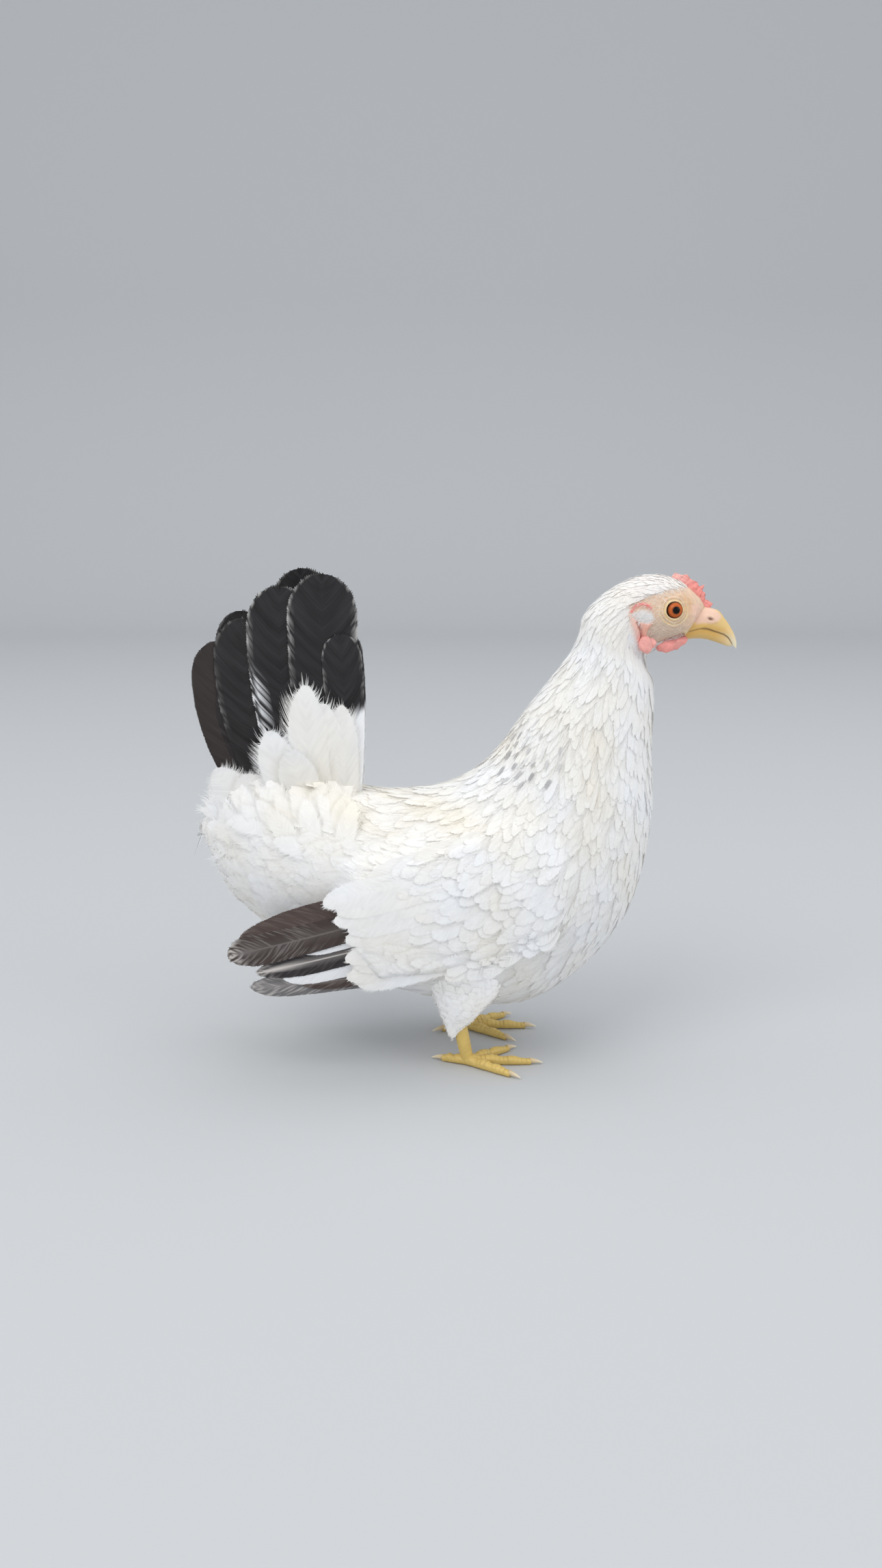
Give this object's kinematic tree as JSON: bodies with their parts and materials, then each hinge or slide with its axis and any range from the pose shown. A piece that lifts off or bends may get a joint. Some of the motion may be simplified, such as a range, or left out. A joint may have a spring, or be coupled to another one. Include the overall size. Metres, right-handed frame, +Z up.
{
  "type": "japanese bantam hen",
  "caption": "Life-size model of a standing short-legged bantam hen, white with an upright black tail, low comb and drooped wings.",
  "frame": {"origin": "on the floor, under the middle of the bird's box", "axes": "+X towards the bill, +Y to the bird's left, +Z up"},
  "size_m": [0.2558, 0.103, 0.237],
  "materials": {
    "feather_white": "soft white feathers",
    "feather_black": "silky black feathers with thin pale fringes",
    "face_skin": "soft skin with short pale feathers",
    "comb_skin": "pebbled skin",
    "bill_horn": "smooth horn",
    "eye": "wet and clear",
    "leg_scale": "small scales",
    "claw_horn": "smooth horn"
  },
  "bodies": {
    "root": {"bill_lower": "bill_horn", "bill_upper": "bill_horn", "claw_hind_left": "claw_horn", "claw_hind_right": "claw_horn", "claw_inner_left": "claw_horn", "claw_inner_right": "claw_horn", "claw_middle_left": "claw_horn", "claw_middle_right": "claw_horn", "claw_outer_left": "claw_horn", "claw_outer_right": "claw_horn", "comb": "comb_skin", "ear_lobe_left": "comb_skin", "ear_lobe_right": "comb_skin", "eye_left": "eye", "eye_right": "eye", "foot_left": "leg_scale", "foot_right": "leg_scale", "head": "face_skin", "neck": "feather_white", "rump": "feather_white", "tail_coverts_left": "feather_white", "tail_coverts_right": "feather_white", "tail_left": "feather_black", "tail_right": "feather_black", "thigh_left": "feather_white", "thigh_right": "feather_white", "torso": "feather_white", "wattle_left": "comb_skin", "wattle_right": "comb_skin", "wing_left": "feather_white", "wing_right": "feather_white"}
  },
  "joints": []
}
